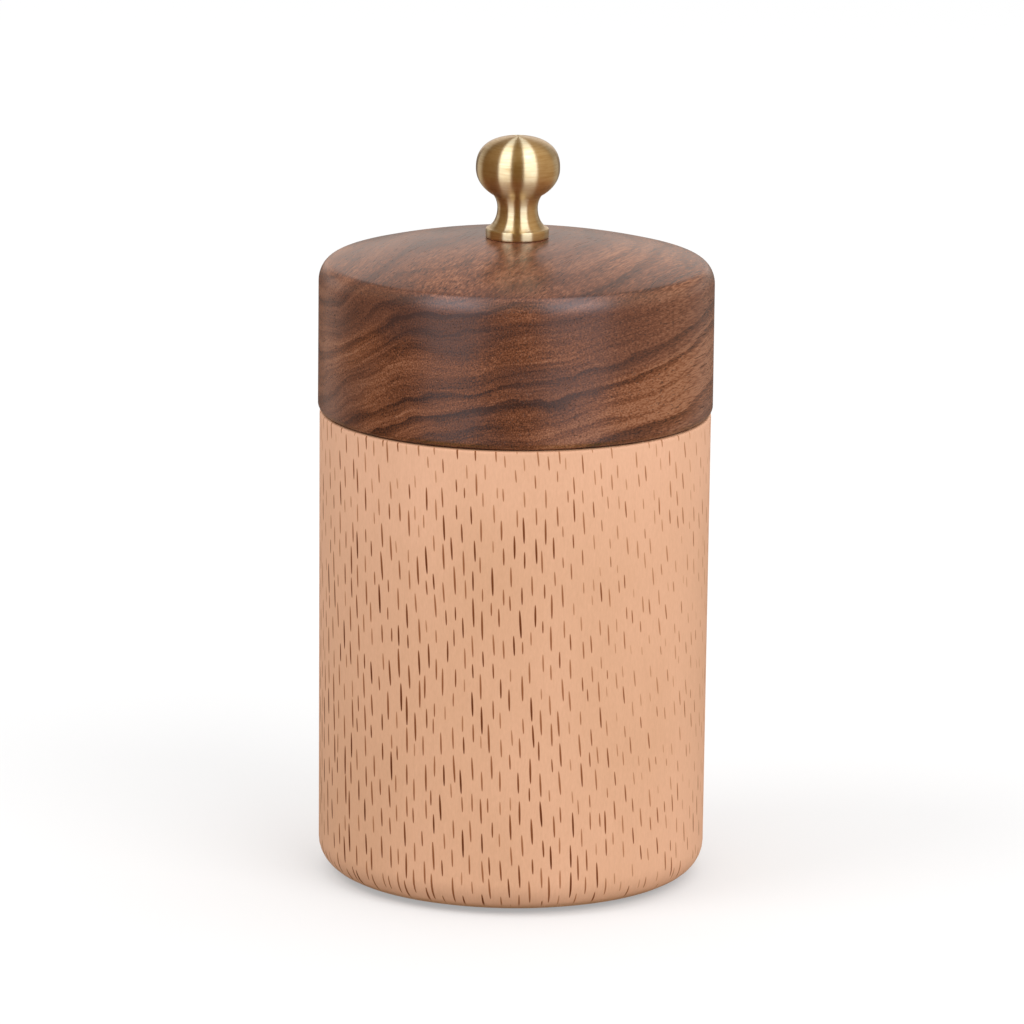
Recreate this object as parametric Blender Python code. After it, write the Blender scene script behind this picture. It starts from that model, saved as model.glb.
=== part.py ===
"""Toothpick holder: a turned beech jar with a walnut lid, a brass knob and the small parts that hold them.

Metres, +Z up. The origin is the middle of the foot, on the surface that the jar stands on.
"""

import math

import bmesh
import bpy
from mathutils import Matrix

MM = 0.001
DEGREE = math.pi / 180

# Gap between pieces that touch on the real object.
SEAT_GAP = 0.3 * MM

# Toothpicks, which set the height of the jar and of the lid's recess.
PICK_LENGTH = 65.0 * MM
PICK_PROUD = 2.9 * MM
PICK_HEADROOM = 3.0 * MM

# Lid, turned from walnut.
LID_RADIUS = 28.0 * MM
LID_CROWN = 13.66 * MM
LID_DOME_RISE = 3.47 * MM
LID_EDGE_ROUND = 2.34 * MM
LID_MOUTH_ROUND = 1.0 * MM
LID_WALL = 3.2 * MM
LID_SOCKET_CLEARANCE = 0.6 * MM
LID_SOCKET_LEAD = 0.5 * MM
LID_RECESS_ROUND = 2.0 * MM
LID_KNOB_FLAT_MARGIN = 0.3 * MM

# Jar body, turned from beech.
BODY_SETBACK = 0.24 * MM
BODY_TAPER = 0.21 * MM
BODY_BASE = 10.0 * MM
BODY_FOOT_ROUND = 4.2 * MM
BODY_SHOULDER_ROUND = 0.5 * MM
BODY_FLOOR_ROUND = 1.5 * MM
NECK_WALL = 3.7 * MM
NECK_LAND = 1.4 * MM
NECK_ROUND = 0.6 * MM

# Seal ring in its groove round the neck.
GROOVE_ABOVE_SHOULDER = 1.7 * MM
GROOVE_DEPTH = 1.3 * MM
SEAL_HEIGHT = 1.8 * MM
SEAL_CROWN = 0.5 * MM

# Pad under the foot.
PAD_SURROUND = 5.05 * MM
PAD_THICKNESS = 1.5 * MM
PAD_STANDOUT = 0.4 * MM
PAD_EDGE = 0.2 * MM

# Knob, turned from brass.
KNOB_FLANGE_RADIUS = 4.48 * MM
KNOB_RIM_HEIGHT = 1.15 * MM
KNOB_RIM_ROUND = 0.15 * MM
KNOB_FLARE_RISE = 2.83 * MM
KNOB_WAIST_RADIUS = 2.85 * MM
KNOB_COVE_RISE = 1.87 * MM
KNOB_BALL_RADIUS = 5.94 * MM
KNOB_BALL_UNDERSIDE = 4.65 * MM
KNOB_BALL_CROWN = 4.52 * MM
KNOB_FLARE_SWEEP = 72 * DEGREE
KNOB_COVE_SWEEP = 42 * DEGREE
KNOB_BALL_SWEEP = 54.4 * DEGREE
KNOB_CROWN_SQUARENESS = 2.45
DRILL_POINT = 59 * DEGREE

# Screw and washers that hold the knob.
SCREW_RADIUS = 1.5 * MM
SCREW_ENGAGEMENT = 8.95 * MM
SCREW_TIP_CHAMFER = 0.4 * MM
SCREW_HEAD_RADIUS = 2.8 * MM
SCREW_HEAD_HEIGHT = 2.4 * MM
SCREW_HEAD_ROUND = 1.2 * MM
SCREW_HEAD_SUNK = 0.4 * MM
CROSS_SPAN = 3.0 * MM
CROSS_WIDTH = 0.6 * MM
CROSS_DEPTH = 1.3 * MM
DRILL_RUNOUT = 1.2 * MM
FLAT_WASHER_RADIUS = 3.5 * MM
FLAT_WASHER_THICKNESS = 0.5 * MM
SPRING_WASHER_RADIUS = 3.1 * MM
SPRING_WASHER_THICKNESS = 0.8 * MM
SPRING_WASHER_SPLIT = 20 * DEGREE
DRIVER_CLEARANCE = 1.0 * MM

# Facets round each turned piece, in multiples of four.
LARGE_STEPS = 72
KNOB_STEPS = 40
SMALL_STEPS = 32

# Straight runs along each curve of an outline.
EDGE_STEPS = 2
CORNER_STEPS = 3
CURVE_STEPS = 6
CROWN_STEPS = 8

AUTO_SHARP = 32 * DEGREE
CUT_OVERRUN = 1.0 * MM
WELD = SEAT_GAP / 1000

# Radii that follow from the sizes above.
BODY_TOP_RADIUS = LID_RADIUS - BODY_SETBACK
BODY_FOOT_RADIUS = BODY_TOP_RADIUS - BODY_TAPER
SOCKET_RADIUS = LID_RADIUS - LID_WALL
NECK_RADIUS = SOCKET_RADIUS - LID_SOCKET_CLEARANCE
BORE_RADIUS = NECK_RADIUS - NECK_WALL
GROOVE_RADIUS = NECK_RADIUS - GROOVE_DEPTH
GROOVE_WIDTH = SEAL_HEIGHT + 2 * SEAT_GAP
SEAL_INNER_RADIUS = GROOVE_RADIUS + SEAT_GAP
SEAL_OUTER_RADIUS = SOCKET_RADIUS - SEAT_GAP
PAD_RECESS_RADIUS = BODY_FOOT_RADIUS - BODY_FOOT_ROUND - PAD_SURROUND
PAD_RADIUS = PAD_RECESS_RADIUS - SEAT_GAP
SCREW_HOLE_RADIUS = SCREW_RADIUS + SEAT_GAP
COUNTERBORE_RADIUS = FLAT_WASHER_RADIUS + DRIVER_CLEARANCE
KNOB_FLAT_RADIUS = KNOB_FLANGE_RADIUS + LID_KNOB_FLAT_MARGIN

# Heights that follow from the sizes above.
WOOD_FOOT_Z = PAD_STANDOUT
PAD_RECESS_Z = PAD_THICKNESS + SEAT_GAP
FLOOR_Z = WOOD_FOOT_Z + BODY_BASE
PICK_TOP_Z = FLOOR_Z + PICK_LENGTH
NECK_TOP_Z = PICK_TOP_Z - PICK_PROUD
GROOVE_TOP_Z = NECK_TOP_Z - NECK_LAND
GROOVE_Z = GROOVE_TOP_Z - GROOVE_WIDTH
SHOULDER_Z = GROOVE_Z - GROOVE_ABOVE_SHOULDER
SEAL_Z = GROOVE_Z + SEAT_GAP
LID_MOUTH_Z = SHOULDER_Z + SEAT_GAP
SOCKET_TOP_Z = NECK_TOP_Z + LID_SOCKET_CLEARANCE
RECESS_TOP_Z = PICK_TOP_Z + PICK_HEADROOM
APEX_Z = RECESS_TOP_Z + LID_CROWN
DOME_EDGE_R = LID_RADIUS - LID_EDGE_ROUND
DOME_EDGE_Z = APEX_Z - LID_DOME_RISE - LID_EDGE_ROUND
DOME_RADIUS = (DOME_EDGE_R**2 / LID_DOME_RISE + LID_DOME_RISE) / 2 + LID_EDGE_ROUND
DOME_CENTRE_Z = APEX_Z - DOME_RADIUS
KNOB_SEAT_Z = DOME_CENTRE_Z + math.sqrt(DOME_RADIUS**2 - KNOB_FLAT_RADIUS**2)
WASHER_STACK = FLAT_WASHER_THICKNESS + SPRING_WASHER_THICKNESS + 3 * SEAT_GAP
COUNTERBORE_TOP_Z = RECESS_TOP_Z + WASHER_STACK + SCREW_HEAD_HEIGHT + SCREW_HEAD_SUNK
FLAT_WASHER_Z = COUNTERBORE_TOP_Z - SEAT_GAP - FLAT_WASHER_THICKNESS
SPRING_WASHER_Z = FLAT_WASHER_Z - SEAT_GAP - SPRING_WASHER_THICKNESS
SCREW_SEAT_Z = SPRING_WASHER_Z - SEAT_GAP
SCREW_HEAD_Z = SCREW_SEAT_Z - SCREW_HEAD_HEIGHT
KNOB_Z = KNOB_SEAT_Z + SEAT_GAP
SCREW_TIP_Z = KNOB_Z + SCREW_ENGAGEMENT
KNOB_HOLE_TOP_Z = SCREW_TIP_Z + DRILL_RUNOUT
KNOB_RIM_Z = APEX_Z + KNOB_RIM_HEIGHT
KNOB_FLARE_Z = KNOB_RIM_Z + KNOB_RIM_ROUND
KNOB_WAIST_Z = KNOB_FLARE_Z + KNOB_FLARE_RISE


def arc(centre, radius, start, end, count=CURVE_STEPS):
    """Points (r, z) of a round or elliptical arc; radius is one number or a pair of half-axes."""
    half_r, half_z = radius if isinstance(radius, tuple) else (radius, radius)
    angles = [start + (end - start) * step / count for step in range(count + 1)]
    return [
        (centre[0] + half_r * math.cos(angle), centre[1] + half_z * math.sin(angle))
        for angle in angles
    ]


def finish(name, colour, roughness, metallic):
    """A plain Principled material."""
    material = bpy.data.materials.new(name)
    material.use_nodes = True
    shader = material.node_tree.nodes["Principled BSDF"]
    shader.inputs["Base Color"].default_value = (*colour, 1)
    shader.inputs["Roughness"].default_value = roughness
    shader.inputs["Metallic"].default_value = metallic
    return material


def object_from(bm, name, material, hidden=False):
    """An object that holds this bmesh, with its normals facing out and its round faces smooth."""
    bmesh.ops.remove_doubles(bm, verts=bm.verts, dist=WELD)
    bmesh.ops.recalc_face_normals(bm, faces=bm.faces)
    mesh = bpy.data.meshes.new(name)
    bm.to_mesh(mesh)
    bm.free()
    mesh.shade_smooth()
    mesh.set_sharp_from_angle(angle=AUTO_SHARP)
    piece = bpy.data.objects.new(name, mesh)
    bpy.context.scene.collection.objects.link(piece)
    if material:
        mesh.materials.append(material)
    if hidden:
        piece.hide_render = True
        piece.display_type = "WIRE"
    return piece


def chain(bm, outline, closed):
    """The edges that join the points (r, z) of an outline in the XZ plane."""
    verts = [bm.verts.new((r, 0, z)) for r, z in outline]
    edges = [bm.edges.new(pair) for pair in zip(verts, verts[1:])]
    if closed:
        edges.append(bm.edges.new((verts[-1], verts[0])))
    return verts, edges


def turned(name, outline, steps, material):
    """A solid of revolution about Z. The outline either closes on itself or starts and ends on the axis."""
    bm = bmesh.new()
    closed = outline[0][0] > WELD
    verts, edges = chain(bm, outline, closed)
    bmesh.ops.spin(
        bm,
        geom=verts + edges,
        cent=(0, 0, 0),
        axis=(0, 0, 1),
        angle=2 * math.pi,
        steps=steps,
        use_merge=True,
    )
    return object_from(bm, name, material)


def body_outline():
    """From the middle of the floor, up the bore, over the neck, down the side and in under the foot."""
    rim_z = NECK_TOP_Z - NECK_ROUND
    foot_z = WOOD_FOOT_Z + BODY_FOOT_ROUND
    floor_corner = (BORE_RADIUS - BODY_FLOOR_ROUND, FLOOR_Z + BODY_FLOOR_ROUND)
    shoulder_corner = (BODY_TOP_RADIUS - BODY_SHOULDER_ROUND, SHOULDER_Z - BODY_SHOULDER_ROUND)
    foot_corner = (BODY_FOOT_RADIUS - BODY_FOOT_ROUND, foot_z)
    return (
        [(0, FLOOR_Z)]
        + arc(floor_corner, BODY_FLOOR_ROUND, -math.pi / 2, 0, CORNER_STEPS)
        + arc((BORE_RADIUS + NECK_ROUND, rim_z), NECK_ROUND, math.pi, math.pi / 2, EDGE_STEPS)
        + arc((NECK_RADIUS - NECK_ROUND, rim_z), NECK_ROUND, math.pi / 2, 0, EDGE_STEPS)
        + [(NECK_RADIUS, GROOVE_TOP_Z), (GROOVE_RADIUS, GROOVE_TOP_Z)]
        + [(GROOVE_RADIUS, GROOVE_Z), (NECK_RADIUS, GROOVE_Z), (NECK_RADIUS, SHOULDER_Z)]
        + arc(shoulder_corner, BODY_SHOULDER_ROUND, math.pi / 2, 0, CORNER_STEPS)
        + arc(foot_corner, BODY_FOOT_ROUND, 0, -math.pi / 2)
        + [(PAD_RECESS_RADIUS, WOOD_FOOT_Z), (PAD_RECESS_RADIUS, PAD_RECESS_Z), (0, PAD_RECESS_Z)]
    )


def dome_points():
    """The lid's rounded edge and low dome, up to the flat that the knob stands on."""
    leave = math.atan2(DOME_EDGE_Z - DOME_CENTRE_Z, DOME_EDGE_R)
    flat = math.acos(KNOB_FLAT_RADIUS / DOME_RADIUS)
    edge = arc((DOME_EDGE_R, DOME_EDGE_Z), LID_EDGE_ROUND, 0, leave)
    dome = arc((0, DOME_CENTRE_Z), DOME_RADIUS, leave, flat)
    return edge + dome[1:]


def lid_outline():
    """From the screw hole across the recess, down the socket, round the mouth and up over the dome."""
    mouth_z = LID_MOUTH_Z + LID_MOUTH_ROUND
    recess_corner = (BORE_RADIUS - LID_RECESS_ROUND, RECESS_TOP_Z - LID_RECESS_ROUND)
    return (
        [(SCREW_HOLE_RADIUS, COUNTERBORE_TOP_Z), (COUNTERBORE_RADIUS, COUNTERBORE_TOP_Z)]
        + [(COUNTERBORE_RADIUS, RECESS_TOP_Z)]
        + arc(recess_corner, LID_RECESS_ROUND, math.pi / 2, 0, CORNER_STEPS)
        + [(BORE_RADIUS, SOCKET_TOP_Z), (SOCKET_RADIUS, SOCKET_TOP_Z)]
        + [(SOCKET_RADIUS, LID_MOUTH_Z + LID_SOCKET_LEAD), (SOCKET_RADIUS + LID_SOCKET_LEAD, LID_MOUTH_Z)]
        + arc((LID_RADIUS - LID_MOUTH_ROUND, mouth_z), LID_MOUTH_ROUND, -math.pi / 2, 0, CORNER_STEPS)
        + dome_points()
        + [(SCREW_HOLE_RADIUS, KNOB_SEAT_Z)]
    )


def knob_outline():
    """From the top of the ball down its outside to the flange, and back up the tapped hole."""
    sweep_out = KNOB_BALL_RADIUS * math.cos(KNOB_BALL_SWEEP)
    cove_reach = (sweep_out - KNOB_WAIST_RADIUS) / (1 - math.cos(KNOB_COVE_SWEEP))
    cove_height = KNOB_COVE_RISE / math.sin(KNOB_COVE_SWEEP)
    ball_z = KNOB_WAIST_Z + KNOB_COVE_RISE + KNOB_BALL_UNDERSIDE * math.sin(KNOB_BALL_SWEEP)
    flare_out = KNOB_FLANGE_RADIUS - KNOB_RIM_ROUND - KNOB_WAIST_RADIUS
    flare_reach = flare_out / (1 - math.cos(KNOB_FLARE_SWEEP))
    flare_height = KNOB_FLARE_RISE / math.sin(KNOB_FLARE_SWEEP)
    power = 2 / KNOB_CROWN_SQUARENESS
    crown_angles = [math.pi / 2 * (1 - step / CROWN_STEPS) for step in range(CROWN_STEPS + 1)]
    crown = [
        (KNOB_BALL_RADIUS * math.cos(angle) ** power, ball_z + KNOB_BALL_CROWN * math.sin(angle) ** power)
        for angle in crown_angles
    ]
    under = arc((0, ball_z), (KNOB_BALL_RADIUS, KNOB_BALL_UNDERSIDE), 0, -KNOB_BALL_SWEEP)
    cove_centre = (KNOB_WAIST_RADIUS + cove_reach, KNOB_WAIST_Z)
    cove = arc(cove_centre, (cove_reach, cove_height), math.pi - KNOB_COVE_SWEEP, math.pi, CORNER_STEPS)
    flare_centre = (KNOB_WAIST_RADIUS + flare_reach, KNOB_WAIST_Z)
    flare = arc(flare_centre, (flare_reach, flare_height), math.pi, math.pi + KNOB_FLARE_SWEEP)
    rim_centre = (KNOB_FLANGE_RADIUS - KNOB_RIM_ROUND, KNOB_RIM_Z)
    rim = arc(rim_centre, KNOB_RIM_ROUND, math.pi / 2, 0, EDGE_STEPS)
    point_z = KNOB_HOLE_TOP_Z + SCREW_HOLE_RADIUS / math.tan(DRILL_POINT)
    hole = [(SCREW_HOLE_RADIUS, KNOB_Z), (SCREW_HOLE_RADIUS, KNOB_HOLE_TOP_Z), (0, point_z)]
    return crown + under[1:] + cove[1:] + flare[1:] + rim[1:] + [(KNOB_FLANGE_RADIUS, KNOB_Z)] + hole


def screw_outline():
    """From the tip down the shank, out under the head and round to the middle of its face."""
    face_corner = (SCREW_HEAD_RADIUS - SCREW_HEAD_ROUND, SCREW_HEAD_Z + SCREW_HEAD_ROUND)
    return (
        [(0, SCREW_TIP_Z), (SCREW_RADIUS - SCREW_TIP_CHAMFER, SCREW_TIP_Z)]
        + [(SCREW_RADIUS, SCREW_TIP_Z - SCREW_TIP_CHAMFER), (SCREW_RADIUS, SCREW_SEAT_Z)]
        + [(SCREW_HEAD_RADIUS, SCREW_SEAT_Z)]
        + arc(face_corner, SCREW_HEAD_ROUND, 0, -math.pi / 2, CORNER_STEPS)
        + [(0, SCREW_HEAD_Z)]
    )


def bar(name, length, width, bottom, top):
    """A hidden box along X, centred on the axis, for cutting."""
    bm = bmesh.new()
    made = bmesh.ops.create_cube(bm, size=1)
    for vert in made["verts"]:
        vert.co.x *= length
        vert.co.y *= width
        vert.co.z = top if vert.co.z > 0 else bottom
    return object_from(bm, name, None, hidden=True)


def cut(piece, cutter):
    """Takes the cutter's shape out of the piece."""
    modifier = piece.modifiers.new(cutter.name, "BOOLEAN")
    modifier.operation = "DIFFERENCE"
    modifier.solver = "EXACT"
    modifier.object = cutter


def knob_screw(material):
    """The pan-head screw, with a cross recess in the face that looks down into the lid."""
    screw = turned("knob_screw", screw_outline(), SMALL_STEPS, material)
    low = SCREW_HEAD_Z - CUT_OVERRUN
    high = SCREW_HEAD_Z + CROSS_DEPTH
    for name, angle in (("cross_cutter_a", 0), ("cross_cutter_b", math.pi / 2)):
        cutter = bar(name, CROSS_SPAN, CROSS_WIDTH, low, high)
        cutter.rotation_euler.z = angle
        cut(screw, cutter)
    return screw


def washer_section(inner, outer, bottom, thickness):
    """The four corners of a flat ring's section."""
    return [(inner, bottom), (outer, bottom), (outer, bottom + thickness), (inner, bottom + thickness)]


def spring_washer(material):
    """A ring with a narrow split, closed by a flat end on each side of it."""
    bm = bmesh.new()
    section = washer_section(
        SCREW_HOLE_RADIUS, SPRING_WASHER_RADIUS, SPRING_WASHER_Z, SPRING_WASHER_THICKNESS
    )
    verts, edges = chain(bm, section, True)
    bm.faces.new(verts)
    swept = bmesh.ops.spin(
        bm,
        geom=verts + edges,
        cent=(0, 0, 0),
        axis=(0, 0, 1),
        angle=2 * math.pi - SPRING_WASHER_SPLIT,
        steps=SMALL_STEPS,
        use_merge=False,
    )
    bm.faces.new([item for item in swept["geom_last"] if isinstance(item, bmesh.types.BMVert)])
    return object_from(bm, "spring_washer", material)


def seal_outline():
    """A ring with a flat back and a crowned front that the lid's socket slides over."""
    middle_z = SEAL_Z + SEAL_HEIGHT / 2
    crown_centre = (SEAL_OUTER_RADIUS - SEAL_CROWN, middle_z)
    front = arc(crown_centre, (SEAL_CROWN, SEAL_HEIGHT / 2), -math.pi / 2, math.pi / 2)
    return [(SEAL_INNER_RADIUS, SEAL_Z)] + front + [(SEAL_INNER_RADIUS, SEAL_Z + SEAL_HEIGHT)]


def pad_outline():
    """A disc with its lower edge eased."""
    return [
        (0, PAD_THICKNESS),
        (PAD_RADIUS, PAD_THICKNESS),
        (PAD_RADIUS, PAD_EDGE),
        (PAD_RADIUS - PAD_EDGE, 0),
        (0, 0),
    ]


def joint(name, height):
    """An empty on the axis that the lid turns about and lifts along."""
    empty = bpy.data.objects.new(name, None)
    empty.location.z = height
    bpy.context.scene.collection.objects.link(empty)
    return empty


def carry(empty, *pieces):
    """Parents the pieces to the empty and leaves them where they are."""
    for piece in pieces:
        piece.parent = empty
        piece.matrix_parent_inverse = Matrix.Translation(-empty.location)


def main():
    for old in list(bpy.data.objects):
        bpy.data.objects.remove(old)
    beech = finish("beech", (0.72, 0.40, 0.25), 0.5, 0)
    walnut = finish("walnut", (0.16, 0.075, 0.05), 0.42, 0)
    brass = finish("brass", (0.78, 0.55, 0.24), 0.28, 1)
    steel = finish("steel", (0.6, 0.6, 0.6), 0.35, 1)
    silicone = finish("silicone", (0.75, 0.75, 0.72), 0.5, 0)
    rubber = finish("pad_rubber", (0.05, 0.045, 0.04), 0.8, 0)

    turned("beech_body", body_outline(), LARGE_STEPS, beech)
    turned("base_pad", pad_outline(), LARGE_STEPS, rubber)
    seal = turned("seal_ring", seal_outline(), LARGE_STEPS, silicone)
    lid = turned("walnut_lid", lid_outline(), LARGE_STEPS, walnut)
    knob = turned("brass_knob", knob_outline(), KNOB_STEPS, brass)
    screw = knob_screw(steel)
    flat_section = washer_section(
        SCREW_HOLE_RADIUS, FLAT_WASHER_RADIUS, FLAT_WASHER_Z, FLAT_WASHER_THICKNESS
    )
    flat = turned("flat_washer", flat_section, SMALL_STEPS, steel)
    spring = spring_washer(steel)

    carry(joint("lid_turn_axis", SEAL_Z), seal)
    carry(joint("lid_lift_axis", LID_MOUTH_Z), lid, knob, screw, flat, spring)


main()
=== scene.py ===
"""Looks of a turned toothpick jar: beech body, walnut lid, brass knob and what holds them.

Metres, +Z up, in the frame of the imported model. Every piece is turned about the Z axis.
"""

import logging
import math
from collections.abc import Callable
from dataclasses import dataclass
from enum import Enum
from typing import NamedTuple

import bmesh
import bpy
from bpy.types import Material, Mesh, NodeSocket, NodeTree, Object
from mathutils import Matrix, Vector


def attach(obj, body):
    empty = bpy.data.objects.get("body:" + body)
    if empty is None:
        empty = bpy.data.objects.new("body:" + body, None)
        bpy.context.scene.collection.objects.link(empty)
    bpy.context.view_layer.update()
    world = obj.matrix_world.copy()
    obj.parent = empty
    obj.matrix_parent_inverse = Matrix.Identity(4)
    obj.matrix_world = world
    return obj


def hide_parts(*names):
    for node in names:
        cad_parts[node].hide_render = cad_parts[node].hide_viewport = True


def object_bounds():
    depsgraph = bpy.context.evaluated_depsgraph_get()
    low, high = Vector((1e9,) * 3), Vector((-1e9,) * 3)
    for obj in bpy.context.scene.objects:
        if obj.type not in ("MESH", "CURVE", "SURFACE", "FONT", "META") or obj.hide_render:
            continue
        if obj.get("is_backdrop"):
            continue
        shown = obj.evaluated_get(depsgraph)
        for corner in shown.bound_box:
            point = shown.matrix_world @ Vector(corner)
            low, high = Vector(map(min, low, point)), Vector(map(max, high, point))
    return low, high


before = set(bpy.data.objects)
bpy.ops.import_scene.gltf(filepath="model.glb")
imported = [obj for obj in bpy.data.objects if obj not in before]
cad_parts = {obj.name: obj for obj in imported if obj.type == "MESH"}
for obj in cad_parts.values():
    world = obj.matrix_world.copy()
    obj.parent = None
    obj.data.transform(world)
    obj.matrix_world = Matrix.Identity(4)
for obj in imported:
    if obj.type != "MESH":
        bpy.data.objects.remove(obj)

log = logging.getLogger("toothpick_jar")

MM = 0.001
DEGREE = math.pi / 180
SHARP = 24 * DEGREE
WELD = 1e-7
RUN_SHARE = 0.49
ALONG = "along"
WHITE = (1.0, 1.0, 1.0)
IMAGE_PIXELS = 1024
SENSOR_MM = 36.0

Point = tuple[float, float]
Colour = tuple[float, float, float]


class Corner(NamedTuple):
    """A corner of an outline: its radius and height, and how far it is rounded."""

    r: float
    z: float
    ease: float = 0.0


class Body(Enum):
    """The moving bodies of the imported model."""

    JAR = "jar"
    SEAL = "seal"
    LID = "lid"


# Outlines


def arc(centre: Point, halves: Point, start: float, end: float, count: int) -> list[Point]:
    """Points of a round or elliptical arc.

    Args:
        centre: Radius and height of the middle.
        halves: Half-axes across and up.
        start: First angle, in radians from the outward direction.
        end: Last angle.
        count: Straight runs along the arc.

    Returns:
        The points (r, z), both ends included.
    """
    angles = [start + (end - start) * step / count for step in range(count + 1)]
    (r, z), (across, up) = centre, halves
    return [(r + across * math.cos(angle), z + up * math.sin(angle)) for angle in angles]


def eased(corners: list[Corner], steps: int = 6, guard: float = 0.25 * MM) -> list[Point]:
    """An outline with its corners rounded and a point close to each end of its straight runs.

    Args:
        corners: The outline's corners, in order.
        steps: Straight runs along each rounded corner.
        guard: How far from a rounded corner the extra point lies.

    Returns:
        The points (r, z).
    """
    points: list[Point] = []
    for index, corner in enumerate(corners):
        here = Vector((corner.r, corner.z))
        if not corner.ease or index in (0, len(corners) - 1):
            points.append((corner.r, corner.z))
            continue
        sides = [Vector(corners[index + step][:2]) - here for step in (-1, 1)]
        back, ahead = (side.normalized() for side in sides)
        half = sides[0].angle(sides[1]) / 2
        reach = min(corner.ease / math.tan(half), *(RUN_SHARE * side.length for side in sides))
        radius = reach * math.tan(half)
        middle = here + (back + ahead).normalized() * radius / math.sin(half)
        first, last = ((here + way * reach - middle).normalized() for way in (back, ahead))
        roomy = [side.length > 2 * (reach + guard) for side in sides]
        if roomy[0]:
            points.append(tuple(here + back * (reach + guard)))
        for step in range(steps + 1):
            points.append(tuple(middle + first.slerp(last, step / steps) * radius))
        if roomy[1]:
            points.append(tuple(here + ahead * (reach + guard)))
    return points


# Node trees


def math_method(operation: str, swapped: bool = False) -> Callable[..., "Wire"]:
    """A method of a wire that adds a Math node.

    Args:
        operation: The node's operation.
        swapped: Whether the wire comes after the other term.

    Returns:
        The method.
    """

    def method(wire: "Wire", *others: "Wire | float") -> "Wire":
        """The node's result."""
        return wire.graph.math(operation, *((*others, wire) if swapped else (wire, *others)))

    return method


class Wire:
    """An output socket of a node tree, on which operators and methods add Math nodes."""

    __add__ = __radd__ = math_method("ADD")
    __sub__ = math_method("SUBTRACT")
    __rsub__ = math_method("SUBTRACT", swapped=True)
    __mul__ = __rmul__ = math_method("MULTIPLY")
    __truediv__ = math_method("DIVIDE")
    __rtruediv__ = math_method("DIVIDE", swapped=True)
    __pow__ = math_method("POWER")
    __rpow__ = math_method("POWER", swapped=True)
    __mod__ = math_method("FLOORED_MODULO")
    absolute = math_method("ABSOLUTE")
    at_least = math_method("MAXIMUM")
    at_most = math_method("MINIMUM")
    cosine = math_method("COSINE")
    floor = math_method("FLOOR")
    sine = math_method("SINE")

    def __init__(self, graph: "Graph", socket: NodeSocket) -> None:
        """Keeps the tree and the socket."""
        self.graph = graph
        self.socket = socket

    def __neg__(self) -> "Wire":
        """The value with its sign turned."""
        return self * -1.0

    def ramp(self, low: float, high: float, start: float = 0.0, end: float = 1.0) -> "Wire":
        """A smooth step from start, at low, to end, at high.

        Args:
            low: Value at which the step starts.
            high: Value at which it ends.
            start: Result up to low.
            end: Result from high on.

        Returns:
            The stepped value.
        """
        values = {"Value": self, "From Min": low, "From Max": high, "To Min": start, "To Max": end}
        stepped = self.graph.add("ShaderNodeMapRange", values, interpolation_type="SMOOTHSTEP")
        return stepped["Result"]


Term = Wire | float
Tint = Wire | Colour
Place = tuple[Term, Term, Term]
Scales = tuple[float, float, float]
Outputs = dict[str, Wire]


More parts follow.
